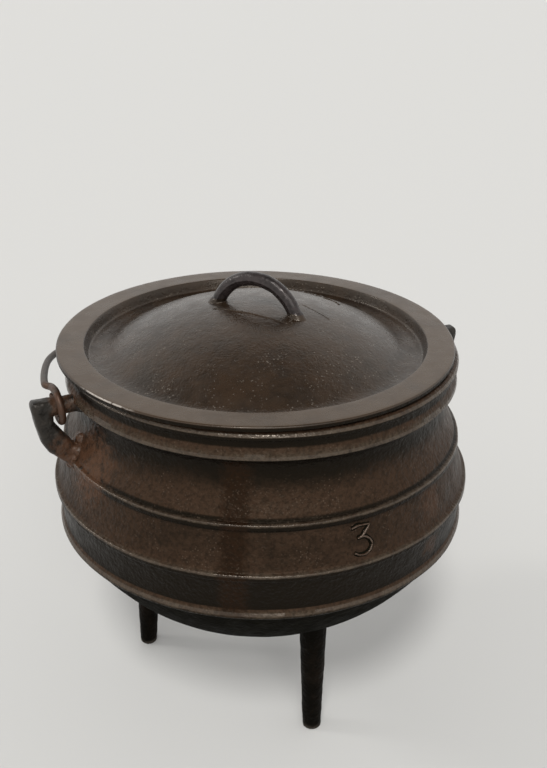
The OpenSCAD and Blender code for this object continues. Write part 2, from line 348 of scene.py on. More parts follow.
def join_bmesh(bm, other):
    """Adds the geometry of other to bm and frees other."""
    mesh = bpy.data.meshes.new("join")
    other.to_mesh(mesh)
    other.free()
    bm.from_mesh(mesh)
    bpy.data.meshes.remove(mesh)


def keep_outside(bm, middle, radius):
    """Moves what lies inside a sphere out to its surface, so that a root ends within the wall it grows from."""
    for vert in bm.verts:
        reach = vert.co - middle
        if reach.length < radius:
            vert.co = middle + reach.normalized() * radius


def keep_in_wall(bm):
    """Moves what would show inside the bowl back into its wall."""
    wall = rounded_line(outer_corners(), 1.0)
    for vert in bm.verts:
        flat = math.hypot(vert.co.x, vert.co.y)
        if flat > 126 * MM:
            continue
        least = min(p.x for p in wall if abs(p.z - vert.co.z) < 1.5 * MM) - 4.1 * MM
        if flat < least:
            vert.co.x *= least / flat
            vert.co.y *= least / flat


def cap_patch(bm, middle, radius, cuts, segments):
    """Adds the part of a ball that is left after its cuts (point, outward side), for a root to grow from."""
    patch = bmesh.new()
    bmesh.ops.create_uvsphere(patch, u_segments=segments, v_segments=segments // 2, radius=radius)
    bmesh.ops.translate(patch, verts=patch.verts[:], vec=middle)
    for point, side in cuts:
        cut = bmesh.ops.bisect_plane(patch, geom=patch.verts[:] + patch.edges[:] + patch.faces[:],
                                     plane_co=point, plane_no=side, clear_outer=True)
        rim = [item for item in cut["geom_cut"] if isinstance(item, bmesh.types.BMEdge)]
        bmesh.ops.contextual_create(patch, geom=rim)
    bmesh.ops.recalc_face_normals(patch, faces=patch.faces[:])
    join_bmesh(bm, patch)


def wire_path(name, points, radius, sides, closed=False):
    """A bmesh tube of round wire along points."""
    curve = bpy.data.curves.new(name, "CURVE")
    curve.dimensions = "3D"
    curve.bevel_depth = radius
    curve.bevel_resolution = sides
    curve.use_fill_caps = not closed
    spline = curve.splines.new("POLY")
    spline.points.add(len(points) - 1)
    for slot, point in zip(spline.points, points):
        slot.co = (*point, 1)
    spline.use_cyclic_u = closed
    blank = bpy.data.objects.new(name, curve)
    bpy.context.scene.collection.objects.link(blank)
    bpy.context.view_layer.update()
    graph = bpy.context.evaluated_depsgraph_get()
    mesh = bpy.data.meshes.new_from_object(blank.evaluated_get(graph))
    bm = bmesh.new()
    bm.from_mesh(mesh)
    bpy.data.objects.remove(blank)
    bpy.data.curves.remove(curve)
    bpy.data.meshes.remove(mesh)
    bmesh.ops.remove_doubles(bm, verts=bm.verts[:], dist=0.005 * MM)
    bmesh.ops.recalc_face_normals(bm, faces=bm.faces[:])
    return bm


class Nodes:
    """Short way to lay out a material's nodes."""

    def __init__(self, name):
        self.material = bpy.data.materials.new(name)
        self.material.use_nodes = True
        self.tree = self.material.node_tree
        self.shader = self.tree.nodes["Principled BSDF"]
        coordinates = self.add("ShaderNodeTexCoord")
        self.where = coordinates.outputs["Object"]
        self.facing = coordinates.outputs["Normal"]

    def add(self, kind, **settings):
        node = self.tree.nodes.new(kind)
        for key, value in settings.items():
            setattr(node, key, value)
        return node

    def link(self, value, socket):
        if isinstance(value, bpy.types.NodeSocket):
            self.tree.links.new(value, socket)
        elif value is not None:
            socket.default_value = value

    def noise(self, size, detail=3.0, rough=0.55, distortion=0.0, where=None):
        """Noise from 0 to 1 whose features are about size across, in metres."""
        node = self.add("ShaderNodeTexNoise")
        self.link(where or self.where, node.inputs["Vector"])
        node.inputs["Scale"].default_value = 1 / size
        node.inputs["Detail"].default_value = detail
        node.inputs["Roughness"].default_value = rough
        node.inputs["Distortion"].default_value = distortion
        return node.outputs["Fac"]

    def cells(self, size, where=None):
        """Distance to scattered points about size apart, in cell widths."""
        node = self.add("ShaderNodeTexVoronoi")
        self.link(where or self.where, node.inputs["Vector"])
        node.inputs["Scale"].default_value = 1 / size
        return node.outputs["Distance"]

    def span(self, value, low, high, out_low=0.0, out_high=1.0):
        """Maps low..high smoothly to out_low..out_high."""
        node = self.add("ShaderNodeMapRange", interpolation_type="SMOOTHSTEP")
        self.link(value, node.inputs["Value"])
        for key, number in (("From Min", low), ("From Max", high), ("To Min", out_low), ("To Max", out_high)):
            self.link(number, node.inputs[key])
        return node.outputs["Result"]

    def sum(self, first, second, operation="ADD"):
        node = self.add("ShaderNodeMath", operation=operation)
        self.link(first, node.inputs[0])
        self.link(second, node.inputs[1])
        return node.outputs["Value"]

    def blend(self, share, under, over):
        """Colour under, with over painted on by share."""
        node = self.add("ShaderNodeMix", data_type="RGBA")
        self.link(share, node.inputs["Factor"])
        for value, key in ((under, 6), (over, 7)):
            self.link((*value, 1) if isinstance(value, tuple) else value, node.inputs[key])
        return node.outputs[2]

    def near(self, place, inner, outer, stretch=(1, 1, 1)):
        """1 within inner of a place, falling to 0 at outer, in metres."""
        mapping = self.add("ShaderNodeMapping", vector_type="TEXTURE")
        self.link(self.where, mapping.inputs["Vector"])
        mapping.inputs["Location"].default_value = place
        mapping.inputs["Scale"].default_value = stretch
        length = self.add("ShaderNodeVectorMath", operation="LENGTH")
        self.link(mapping.outputs["Vector"], length.inputs[0])
        return self.span(length.outputs["Value"], inner, outer, 1.0, 0.0)

    def sway(self, value, amount):
        """Centres a value of 0 to 1 on zero, with its whole swing set by amount."""
        return self.sum(self.sum(value, -0.5), amount, "MULTIPLY")

    def upright(self, vector):
        """Z of a vector, such as the height of a point or the upward share of a face's direction."""
        split = self.add("ShaderNodeSeparateXYZ")
        self.link(vector, split.inputs[0])
        return split.outputs["Z"]

    def along(self, direction):
        """Distance of a point along a flat direction."""
        dot = self.add("ShaderNodeVectorMath", operation="DOT_PRODUCT")
        self.link(self.where, dot.inputs[0])
        dot.inputs[1].default_value = direction
        return dot.outputs["Value"]

    def run_down(self, angle, half_width, low, high):
        """1 on a drip that runs down the wall at an angle round the axis, between two heights."""
        out = Vector((math.cos(angle), math.sin(angle), 0))
        side = Vector((-out.y, out.x, 0))
        offset = self.sum(self.along(side), self.sway(self.noise(5 * MM, 4, 0.7), 1.3 * half_width))
        across = self.span(self.sum(offset, 0, "ABSOLUTE"), 0.4 * half_width, 1.05 * half_width, 1.0, 0.0)
        level = self.upright(self.where)
        ends = self.sum(self.span(level, low - 0.012, low + 0.004), self.span(level, high - 0.004, high + 0.004, 1, 0),
                        "MULTIPLY")
        near_side = self.span(self.along(out), 0.05, 0.06)
        return self.sum(self.sum(across, ends, "MULTIPLY"), near_side, "MULTIPLY")

    def bump(self, layers):
        """Stacks bumps (value, depth in metres)."""
        normal = None
        for value, depth in layers:
            node = self.add("ShaderNodeBump")
            node.inputs["Strength"].default_value = 1.0
            node.inputs["Distance"].default_value = depth
            self.link(value, node.inputs["Height"])
            if normal is not None:
                self.link(normal, node.inputs["Normal"])
            normal = node.outputs["Normal"]
        self.link(normal, self.shader.inputs["Normal"])


def cast_skin(n, peel_depth, grain_depth, pit_depth):
    """The sand-cast skin: broad swells, orange peel, grain and scattered pits."""
    swell = n.noise(15 * MM, 2, 0.5)
    peel = n.noise(4.2 * MM, 2, 0.5)
    pebbles = n.span(n.cells(2.8 * MM), 0.05, 0.60, 1.0, 0.0)
    grain = n.noise(1.7 * MM, 2, 0.5)
    pits = n.span(n.cells(6 * MM), 0.02, 0.10)
    n.bump([(swell, 0.4 * MM), (peel, peel_depth), (pebbles, 0.35 * grain_depth), (grain, grain_depth),
            (pits, pit_depth)])


def rusted(n, colour, colours, places):
    """Paints speckled rust over colour round each place (point, inner, outer, strength)."""
    for place, inner, outer, strength in places:
        patch = n.near(place, inner, outer)
        spots = n.span(n.sum(n.noise(5 * MM, 5, 0.7), n.sum(patch, 0.25, "MULTIPLY")), 0.55, 0.78, 0.0, strength)
        colour = n.blend(n.sum(patch, spots, "MULTIPLY"), colour, tuple(colours.rust))
    return colour


def rubbed(n, level, up):
    """1 where lids and hands rub the outside: the rim's lip, the collar and the ribs, fading upwards. Faces that look
    down are left out, which makes the lighter crest colour partly a painted highlight.
    """
    share = None
    for top, full, low in CRESTS:
        part = n.sum(n.span(level, full * MM, top * MM, 1, 0), n.span(level, (low - 0.4) * MM, (low + 0.2) * MM),
                     "MULTIPLY")
        share = part if share is None else n.sum(share, part, "MAXIMUM")
    across = n.add("ShaderNodeVectorMath", operation="MULTIPLY")
    n.link(n.where, across.inputs[0])
    across.inputs[1].default_value = (1, 1, 0)
    outward = n.add("ShaderNodeVectorMath", operation="DOT_PRODUCT")
    n.link(across.outputs["Vector"], outward.inputs[0])
    n.link(n.facing, outward.inputs[1])
    outside = n.span(outward.outputs["Value"], 0.0, 0.02)
    patchy = n.span(n.sum(n.noise(13 * MM, 4, 0.65), n.sway(n.noise(2.4 * MM, 3, 0.6), 0.9)), 0.24, 0.64, 0.12, 1.0)
    # Painted highlight: crest faces that look down get none of the lighter colour.
    share = n.sum(n.sum(share, outside, "MULTIPLY"), n.span(up, -0.30, 0.05), "MULTIPLY")
    return n.sum(share, patchy, "MULTIPLY")


def seasoning(n):
    """The pot's colour and its share of rubbed crest: oil-black walls, brown on faces that look up (partly bloom,
    partly painted light from above) and lighter crests (partly wear, partly painted highlight).
    """
    colours = bpy.context.scene.pot_finishes
    up = n.upright(n.facing)
    cloud = n.sway(n.noise(30 * MM, 4, 0.6), 0.36)
    mottle = n.sway(n.noise(6 * MM, 4, 0.65), 0.22)
    # settled: brown on faces that look up, partly painted light from above, broken up by random cloud and mottle.
    settled = n.span(n.sum(up, n.sum(cloud, mottle)), 0.04, 0.40)
    level = n.upright(n.where)
    # Painted shade: the brown is taken away in a band just above the top rib.
    groove_shade = n.sum(n.span(level, 0.1950, 0.1956), n.span(level, 0.1966, 0.1986, 1.0, 0.0), "MULTIPLY")
    settled = n.sum(settled, n.sum(groove_shade, -0.95, "MULTIPLY"))
    colour = n.blend(settled, tuple(colours.oiled), tuple(colours.bloom))
    share = rubbed(n, level, up)
    # Crests painted lighter: partly wear, partly painted highlight.
    colour = n.blend(share, colour, tuple(colours.crest))
    drip = n.run_down(math.radians(-121.2), 10.5 * MM, 0.140, 0.229)
    colour = n.blend(n.sum(drip, 0.88, "MULTIPLY"), colour, (0.0120, 0.0048, 0.0018))
    grain = n.span(n.noise(2.2 * MM, 3, 0.65), 0.34, 0.60, 0.50, 0.0)
    colour = n.blend(grain, colour, tuple(colours.oiled))
    # Painted glints: light specks on faces that look up, standing in for highlights.
    painted_glint = n.sum(n.span(n.cells(1.7 * MM), 0.10, 0.34, 0.55, 0.0), n.span(n.noise(14 * MM, 4, 0.65), 0.46, 0.66), "MULTIPLY")
    colour = n.blend(n.sum(painted_glint, n.span(up, 0.0, 0.3), "MULTIPLY"), colour, (0.100, 0.072, 0.053))
    colour = rusted(n, colour, colours, (
        ((-0.121, -0.022, 0.199), 0.008, 0.040, 1.0), ((-0.127, 0, ARM_Z), 0.007, 0.018, 1.0),
        ((0.124, 0.004, 0.200), 0.008, 0.036, 1.0), ((0.127, 0, ARM_Z), 0.007, 0.018, 1.0),
        ((0.057, -0.116, 0.182), 0.004, 0.018, 0.45), ((0.057, -0.120, 0.153), 0.003, 0.014, 0.45)))
    return colour, share, drip


def pot_iron():
    """The pot's seasoned finish."""
    found = bpy.data.materials.get("seasoned_belly")
    if found:
        return found
    n = Nodes("seasoned_belly")
    colour, share, drip = seasoning(n)
    n.link(colour, n.shader.inputs["Base Color"])
    rough = n.span(n.noise(9 * MM, 3), 0.3, 0.7, 0.34, 0.46)
    rough = n.sum(rough, n.sum(drip, -0.10, "MULTIPLY"))
    n.link(rough, n.shader.inputs["Roughness"])
    n.shader.inputs["Specular IOR Level"].default_value = 0.12
    n.shader.inputs["Specular Tint"].default_value = (1.0, 0.82, 0.62, 1)
    cast_skin(n, 0.80 * MM, 0.42 * MM, 0.25 * MM)
    return n.material


def rubbed_crest():
    """The same finish, burnished, on the rim's lip, the collar and the ribs."""
    n = Nodes("rubbed_crest")
    colour, share, drip = seasoning(n)
    n.link(colour, n.shader.inputs["Base Color"])
    n.link(n.span(share, 0, 1, 0.36, 0.20), n.shader.inputs["Roughness"])
    n.shader.inputs["Specular IOR Level"].default_value = 0.45
    n.shader.inputs["Specular Tint"].default_value = (1.0, 0.88, 0.76, 1)
    n.bump([(n.noise(6 * MM, 3, 0.6), 0.50 * MM), (n.noise(2.0 * MM, 2, 0.5), 0.30 * MM)])
    return n.material


def ear_iron():
    """The ears' dark grey iron, with rust where the bail's eyes rub and at the roots."""
    found = bpy.data.materials.get("worn_ear")
    if found:
        return found
    colours = bpy.context.scene.pot_finishes
    n = Nodes("worn_ear")
    colour = n.blend(n.span(n.noise(7 * MM, 4, 0.65), 0.35, 0.7), (0.0085, 0.0078, 0.0068), (0.0250, 0.0215, 0.0180))
    places = []
    for side in (-1, 1):
        places += [((side * 0.124, 0, 0.199), 0.009, 0.030, 1.0), ((side * 0.131, 0, ARM_Z), 0.006, 0.013, 0.9)]
    colour = rusted(n, colour, colours, places)
    n.link(colour, n.shader.inputs["Base Color"])
    n.link(n.span(n.noise(5 * MM, 3), 0.3, 0.7, 0.30, 0.44), n.shader.inputs["Roughness"])
    n.shader.inputs["Specular IOR Level"].default_value = 0.30
    n.shader.inputs["Specular Tint"].default_value = (1.0, 0.93, 0.86, 1)
    cast_skin(n, 0.5 * MM, 0.30 * MM, 0.15 * MM)
    return n.material


def figure_highlight():
    """The rubbed tops of the size figure's strokes, lighter on their upward faces as a painted highlight."""
    colours = bpy.context.scene.pot_finishes
    n = Nodes("painted_figure_highlight")
    colour = n.blend(n.span(n.noise(3 * MM, 3, 0.6), 0.35, 0.65), tuple(colours.bloom), (0.060, 0.040, 0.028))
    n.link(colour, n.shader.inputs["Base Color"])
    n.shader.inputs["Roughness"].default_value = 0.24
    n.shader.inputs["Specular IOR Level"].default_value = 0.5
    n.shader.inputs["Specular Tint"].default_value = (1.0, 0.86, 0.74, 1)
    n.bump([(n.noise(1.6 * MM, 2, 0.5), 0.12 * MM)])
    return n.material


def handle_iron():
    """The lid handle's iron, rubbed blue-black by hands."""
    n = Nodes("rubbed_handle")
    worn = n.span(n.sum(n.noise(8 * MM, 4, 0.65), n.sway(n.noise(2 * MM, 3, 0.6), 0.4)), 0.30, 0.70)
    n.link(n.blend(worn, (0.0090, 0.0070, 0.0068), (0.0300, 0.0238, 0.0232)), n.shader.inputs["Base Color"])
    n.link(n.span(worn, 0, 1, 0.34, 0.22), n.shader.inputs["Roughness"])
    n.shader.inputs["Specular IOR Level"].default_value = 0.42
    n.shader.inputs["Specular Tint"].default_value = (1.0, 0.93, 0.91, 1)
    n.bump([(n.noise(5 * MM, 3, 0.6), 0.30 * MM), (n.noise(1.5 * MM, 2, 0.5), 0.16 * MM)])
    return n.material


def sooted_iron():
    """Burnt-on soot under the belly and on the legs."""
    found = bpy.data.materials.get("sooted_underside")
    if found:
        return found
    colours = bpy.context.scene.pot_finishes
    n = Nodes("sooted_underside")
    patch = n.span(n.noise(12 * MM, 4, 0.65), 0.45, 0.75)
    colour = n.blend(patch, tuple(colours.soot), (0.0066, 0.0060, 0.0038))
    n.link(colour, n.shader.inputs["Base Color"])
    n.link(n.span(n.noise(7 * MM, 3), 0.3, 0.7, 0.56, 0.74), n.shader.inputs["Roughness"])
    n.shader.inputs["Specular IOR Level"].default_value = 0.01
    cast_skin(n, 0.7 * MM, 0.40 * MM, 0.2 * MM)
    return n.material


def leg_iron():
    """The legs' scorched iron, brown where soot has rubbed off."""
    found = bpy.data.materials.get("scorched_leg")
    if found:
        return found
    n = Nodes("scorched_leg")
    bare = n.span(n.sum(n.noise(16 * MM, 4, 0.65), n.sway(n.noise(3 * MM, 3, 0.6), 0.4)), 0.36, 0.66)
    level = n.upright(n.where)
    bare = n.sum(bare, n.span(level, 0.088, 0.060, 0.0, 1.0), "MULTIPLY")
    colour = n.blend(bare, (0.0022, 0.0019, 0.0013), (0.0066, 0.0046, 0.0032))
    worn_foot = n.span(n.sum(level, n.sway(n.noise(4 * MM, 3, 0.6), 0.006)), 0.0015, 0.0045, 0.7, 0.0)
    n.link(n.blend(worn_foot, colour, (0.045, 0.038, 0.031)), n.shader.inputs["Base Color"])
    n.link(n.span(n.noise(7 * MM, 3), 0.3, 0.7, 0.42, 0.60), n.shader.inputs["Roughness"])
    n.shader.inputs["Specular IOR Level"].default_value = 0.03
    n.shader.inputs["Specular Tint"].default_value = (1.0, 0.86, 0.72, 1)
    cast_skin(n, 0.7 * MM, 0.40 * MM, 0.25 * MM)
    return n.material


def cooking_surface():
    """The bowl's seasoned inside, smoother than its outside."""
    n = Nodes("seasoned_inside")
    cloud = n.span(n.sum(n.noise(28 * MM, 4, 0.6), n.sway(n.noise(5 * MM, 3, 0.6), 0.4)), 0.30, 0.70)
    n.link(n.blend(cloud, (0.0085, 0.0062, 0.0046), (0.0230, 0.0160, 0.0110)), n.shader.inputs["Base Color"])
    n.link(n.span(n.noise(9 * MM, 3), 0.3, 0.7, 0.28, 0.40), n.shader.inputs["Roughness"])
    n.shader.inputs["Specular IOR Level"].default_value = 0.4
    n.shader.inputs["Specular Tint"].default_value = (1.0, 0.90, 0.80, 1)
    n.bump([(n.noise(12 * MM, 2, 0.5), 0.30 * MM), (n.noise(3 * MM, 2, 0.5), 0.25 * MM)])
    return n.material


def lid_iron():
    """The lid's finish, glossy with oil, shared by the plate and its handle."""
    found = bpy.data.materials.get("oiled_lid")
    if found:
        return found
    colours = bpy.context.scene.pot_finishes
    n = Nodes("oiled_lid")
    cloud = n.noise(34 * MM, 4, 0.6)
    mottle = n.noise(6 * MM, 4, 0.65)
    share = n.span(n.sum(cloud, n.sway(mottle, 0.5)), 0.22, 0.74)
    up = n.span(n.upright(n.facing), 0.0, 0.5)
    # The brown film goes only on faces that look up, partly as painted light from above.
    colour = n.blend(n.sum(share, up, "MULTIPLY"), (0.0110, 0.0068, 0.0042), tuple(colours.lid_bloom))
    inside_brim = n.near((LID_MIDDLE.x, LID_MIDDLE.y, 0), 0.106, 0.109, (1, 1, 1000))
    handled = n.span(cloud, 0.25, 0.6, 0.45, 0.85)
    flat = n.span(n.upright(n.facing), 0.86, 0.98)
    brim = n.sum(n.sum(n.sum(inside_brim, -1), n.sum(handled, -1, "MULTIPLY"), "MULTIPLY"), flat, "MULTIPLY")
    colour = n.blend(brim, colour, (0.054, 0.033, 0.017))
    # Light specks on the dome: partly dust, partly painted glints.
    dust_and_glint_specks = n.sum(n.span(n.cells(2.3 * MM), 0.12, 0.26, 1.0, 0.0), n.span(n.noise(22 * MM, 3, 0.6), 0.46, 0.64), "MULTIPLY")
    dust_and_glint_specks = n.sum(n.sum(dust_and_glint_specks, inside_brim, "MULTIPLY"), 0.75, "MULTIPLY")
    colour = n.blend(dust_and_glint_specks, colour, (0.150, 0.130, 0.108))
    inside_edge = n.near((LID_MIDDLE.x, LID_MIDDLE.y, 0), 0.1236, 0.1243, (1, 1, 1000))
    # Painted highlight: a light patch on the lid's outer edge at one side, standing in for a bright reflection.
    painted_edge_highlight = n.sum(n.near((-0.1174, -0.0493, 0.2535), 0.010, 0.026), n.span(n.noise(4 * MM, 3, 0.6), 0.35, 0.50), "MULTIPLY")
    painted_edge_highlight = n.sum(n.sum(painted_edge_highlight, n.sum(inside_edge, -1), "MULTIPLY"), n.sum(flat, -1), "MULTIPLY")
    colour = n.blend(painted_edge_highlight, colour, (0.330, 0.300, 0.270))
    n.link(colour, n.shader.inputs["Base Color"])
    n.link(n.span(n.noise(10 * MM, 3), 0.3, 0.7, 0.24, 0.34), n.shader.inputs["Roughness"])
    n.shader.inputs["Specular IOR Level"].default_value = 0.5
    n.shader.inputs["Specular Tint"].default_value = (1.0, 0.90, 0.79, 1)
    domed = n.span(inside_brim, 0, 1, 0.25, 1.0)
    specks = n.span(n.cells(3.2 * MM), 0.02, 0.16, 1.0, 0.0)
    n.bump([(n.sum(n.noise(4.0 * MM, 2, 0.5), domed, "MULTIPLY"), 0.22 * MM),
            (n.sum(n.noise(1.5 * MM, 2, 0.5), domed, "MULTIPLY"), 0.20 * MM),
            (n.sum(specks, domed, "MULTIPLY"), 0.16 * MM)])
    return n.material


def bail_steel():
    """Fire-darkened wire with rust at its eyes."""
    colours = bpy.context.scene.pot_finishes
    reach = bpy.context.scene.bail_sizes.eye_reach
    n = Nodes("fired_wire")
    streaks = n.noise(3 * MM, 4, 0.6)
    dark = tuple(share * 0.45 for share in colours.wire)
    colour = n.blend(n.span(streaks, 0.35, 0.65), dark, tuple(colours.wire))
    colour = rusted(n, colour, colours, (((-reach, 0, ARM_Z), 0.014, 0.034, 1.0), ((reach, 0, ARM_Z), 0.014, 0.034, 1.0)))
    n.link(colour, n.shader.inputs["Base Color"])
    n.link(n.span(streaks, 0.3, 0.7, 0.40, 0.56), n.shader.inputs["Roughness"])
    n.shader.inputs["Metallic"].default_value = 0.5
    n.bump([(n.noise(1.2 * MM, 3, 0.6), 0.08 * MM)])
    return n.material


class IRONPOT_OT_bowl(bpy.types.Operator):
    """Turn the bowl with its rim, collar and ribs"""

    bl_idname = "ironpot.bowl"
    bl_label = "Bowl"

    def execute(self, context):
        sizes = context.scene.pot_sizes
        line = rounded_line(outer_corners(), 2.6)
        line += rounded_line(inner_corners(), 4.4)[:-1]
        line.append(line[0].copy())
        bm = line_to_bmesh(line)
        spin_line(bm, sizes.turns)
        bmesh.ops.recalc_face_normals(bm, faces=bm.faces[:])
        waver(bm, sizes.cast_waver, 26 * MM, 3.1)
        bm.normal_update()
        for face in bm.faces:
            middle = face.calc_center_median()
            outward = face.normal.x * middle.x + face.normal.y * middle.y
            reach = math.hypot(middle.x, middle.y)
            outside = face.normal.dot(Vector((middle.x, middle.y, middle.z - RIM_Z))) > 0
            if outward < -0.1 * MM or (reach < 100 * MM and face.normal.z > 0.5):
                face.material_index = 3
            elif outside and middle.z < SOOT_Z:
                face.material_index = 1
            elif outside and face.normal.z > 0.1 and on_crest(middle.z / MM):
                face.material_index = 2
        piece = finish_object("bowl_casting", bm, pot_iron())
        piece.data.materials.append(sooted_iron())
        piece.data.materials.append(rubbed_crest())
        piece.data.materials.append(cooking_surface())
        dress(piece, "pot", "pot_iron", "pot_bowl")
        return {"FINISHED"}


def on_crest(height):
    """True at the heights, in mm, of the rim's lip, the collar and the ribs."""
    rim = RIM_Z / MM
    crests = ((rim - 2.4, rim - 0.9), (rim - 16.9, rim - 13.4), (193.8, 195.3), (165.6, 167.1), (136.2, 139.3))
    return any(low < height < high for low, high in crests)


class IRONPOT_OT_size_figure(bpy.types.Operator):
    """Raise the plain size figure on the belly"""

    bl_idname = "ironpot.size_figure"
    bl_label = "Size figure"

    def execute(self, context):
        strokes = [[(-5.4, 6.6), (-1.5, 7.4), (3.0, 7.3), (6.2, 6.8)],
                   [(6.2, 6.8), (4.2, 4.3), (1.2, 1.6), (-1.0, 0.5)],
                   [(-2.2, 0.4), (1.0, 0.9), (4.2, -0.2), (6.4, -2.6), (6.6, -5.4), (4.6, -8.0), (1.4, -9.2),
                    (-2.0, -8.9), (-4.9, -7.4)]]
        bm = bmesh.new()
        for stroke in strokes:
            line = smooth_path(stroke, 7)
            # The wide, low foot round each stroke, in soot black, is a painted shadow.
            foot = wire_path("figure", [on_belly(x, z, 0) for x, z in line], 1.45 * MM, 5)
            waver(foot, 0.55 * MM, 3.4 * MM, 33.0)
            for vert in foot.verts:
                flat = math.hypot(vert.co.x, vert.co.y)
                raised = 1 - 0.8 * (flat - belly_radius_at(vert.co.z / MM) * MM) / flat
                vert.co.x *= raised
                vert.co.y *= raised
            ridge = wire_path("figure", [on_belly(x, z, 0.50) for x, z in line], 0.68 * MM, 5)
            join_bmesh(bm, foot)
            join_bmesh(bm, ridge)
        bm = melt(bm, 0.22 * MM, 2)
        waver(bm, 0.26 * MM, 2.6 * MM, 30.0)
        bm.normal_update()
        for face in bm.faces:
            middle = face.calc_center_median()
            proud = math.hypot(middle.x, middle.y) - belly_radius_at(middle.z / MM) * MM
            # Upward faces of the proud ridge take the lighter finish as a painted highlight; the rest, with the foot
            # as painted shadow, stays soot black.
            face.material_index = 1 if proud > 0.60 * MM and face.normal.z > 0.05 else 0
        piece = finish_object("size_figure", bm, sooted_iron())
        piece.data.materials.append(figure_highlight())
        dress(piece, "pot", "pot_iron")
        return {"FINISHED"}


def smooth_path(corners, steps):
    """Points along a smooth line through the corners."""
    last = len(corners) - 1
    points = []
    for index in range(last):
        before, start, end, after = (Vector(corners[max(0, min(last, index + shift))]) for shift in (-1, 0, 1, 2))
        for step in range(steps):
            t = step / steps
            points.append(0.5 * (2 * start + (end - before) * t + (2 * before - 5 * start + 4 * end - after) * t ** 2
                                 + (3 * start - before - 3 * end + after) * t ** 3))
    points.append(Vector(corners[last]))
    return points


def belly_radius_at(height):
    """Radius of the band between the two upper ribs at a height, in mm."""
    return 127.3 + (190.0 - height) * 0.288


def on_belly(x, z, proud):
    """A point by the band between the two upper ribs, from its place about the figure's middle in mm."""
    height = 180.0 + z
    radius = belly_radius_at(height) + proud
    angle = math.radians(FIGURE_TURN) + x / radius
    return Vector((radius * math.cos(angle), radius * math.sin(angle), height)) * MM


class IRONPOT_OT_ears(bpy.types.Operator):
    """Cast the two ears with their arms, webs and roots"""

    bl_idname = "ironpot.ears"
    bl_label = "Ears"

    def execute(self, context):
        arm = ARM_Z / MM
        tip = EAR_TIP / MM
        outline = [(tip - 12.6, arm + 5.3), (tip - 1.2, arm + 5.3), (tip, arm + 3.4), (tip, arm),
                   (tip - 2.4, arm - 14), (tip - 4.2, arm - 21.5), (tip - 7.5, arm - 28),
                   (tip - 14.5, arm - 35), (127.0, 186.6), (119.0, 190.0), (118.8, 194.4),
                   (124.2, 202.4), (134.8, arm - 12.6), (tip - 12.6, arm - 9.8)]
        lumps = ((124.0, 4.2, 200.0, 3.4), (122.6, -4.2, 202.5, 3.2), (125.2, -4.0, 195.0, 3.4),
                 (127.0, 4.0, 192.5, 3.0), (120.8, 0.5, 206.0, 3.8), (128.2, -1.0, 188.8, 2.8))
        for name, turn, seed in (("right_ear", 0.0, 5.0), ("left_ear", math.pi, 9.0)):
            bm = bmesh.new()
            plate(bm, outline, 10.0, 2.4)
            rod(bm, Vector((117.4 * MM, 0, ARM_Z)), Vector((EAR_TIP - 3 * MM, 0, ARM_Z)), 5.5 * MM, 5.5 * MM)
            rod(bm, Vector((117.4 * MM, 0, ARM_Z)), Vector((121.8 * MM, 0, ARM_Z)), 7.6 * MM, 6.0 * MM)
            for x, y, z, radius in lumps:
                bmesh.ops.create_uvsphere(bm, u_segments=20, v_segments=12, radius=radius * MM,
                                          matrix=Matrix.Translation(Vector((x, y, z)) * MM))
            wall_patch(bm, 182, 234, 0, math.radians(9), 0.45)
            bm = melt(bm, 0.6 * MM, 7)
            waver(bm, 0.3 * MM, 6 * MM, seed)
            rough = Vector((seed, 0, 0))
            for vert in bm.verts:
                share = min(1, max(0, (133 * MM - vert.co.x) / (6 * MM))) * min(1, max(0, (212 * MM - vert.co.z) / (6 * MM)))
                vert.co += vert.normal * 1.0 * MM * share * noise.noise(vert.co / (3.2 * MM) + rough)
            keep_in_wall(bm)
            bmesh.ops.rotate(bm, verts=bm.verts[:], cent=(0, 0, 0), matrix=Matrix.Rotation(turn, 3, "Z"))
            piece = finish_object(name + "_casting", bm, ear_iron())
            dress(piece, "pot", "pot_iron", name)
        return {"FINISHED"}


class IRONPOT_OT_legs(bpy.types.Operator):
    """Cast the three tapered legs with their roots"""

    bl_idname = "ironpot.legs"
    bl_label = "Legs"

    def execute(self, context):
        sizes = context.scene.pot_sizes
        belly = Vector((0, 0, BOWL_LOW + sizes.belly_radius))
        cuts = (((0, 0, 90 * MM), (0, 0, 1)), ((58 * MM, 0, 0), (-1, 0, 0)),
                ((0, 24 * MM, 0), (0, 1, 0)), ((0, -24 * MM, 0), (0, -1, 0)))
        for name, direction, seed in (("front_leg", -90, 2.0), ("right_leg", 30, 4.0), ("left_leg", 150, 6.0)):
            bm = bmesh.new()
            foot = Vector((sizes.foot_circle, 0, 0))
            root = Vector((sizes.foot_circle - 3.0 * MM, 0, 88 * MM))
            rod(bm, foot, root, sizes.foot_radius, 9.0 * MM, 40)
            cap_patch(bm, belly, sizes.belly_radius - 0.35 * MM, cuts, 180)
            bm = melt(bm, 0.75 * MM, 8)
            keep_outside(bm, belly, sizes.belly_radius - 4.2 * MM)
            waver(bm, 0.3 * MM, 8 * MM, seed)
            bmesh.ops.rotate(bm, verts=bm.verts[:], cent=(0, 0, 0),
                             matrix=Matrix.Rotation(math.radians(direction), 3, "Z"))
            low = min(vert.co.z for vert in bm.verts)
            for vert in bm.verts:
                if vert.co.z < 6 * MM:
                    vert.co.z = max(0.0, (vert.co.z - low) * 6 * MM / (6 * MM - low))
            piece = finish_object(name + "_casting", bm, leg_iron())
            dress(piece, "pot", "pot_iron", name)
        return {"FINISHED"}


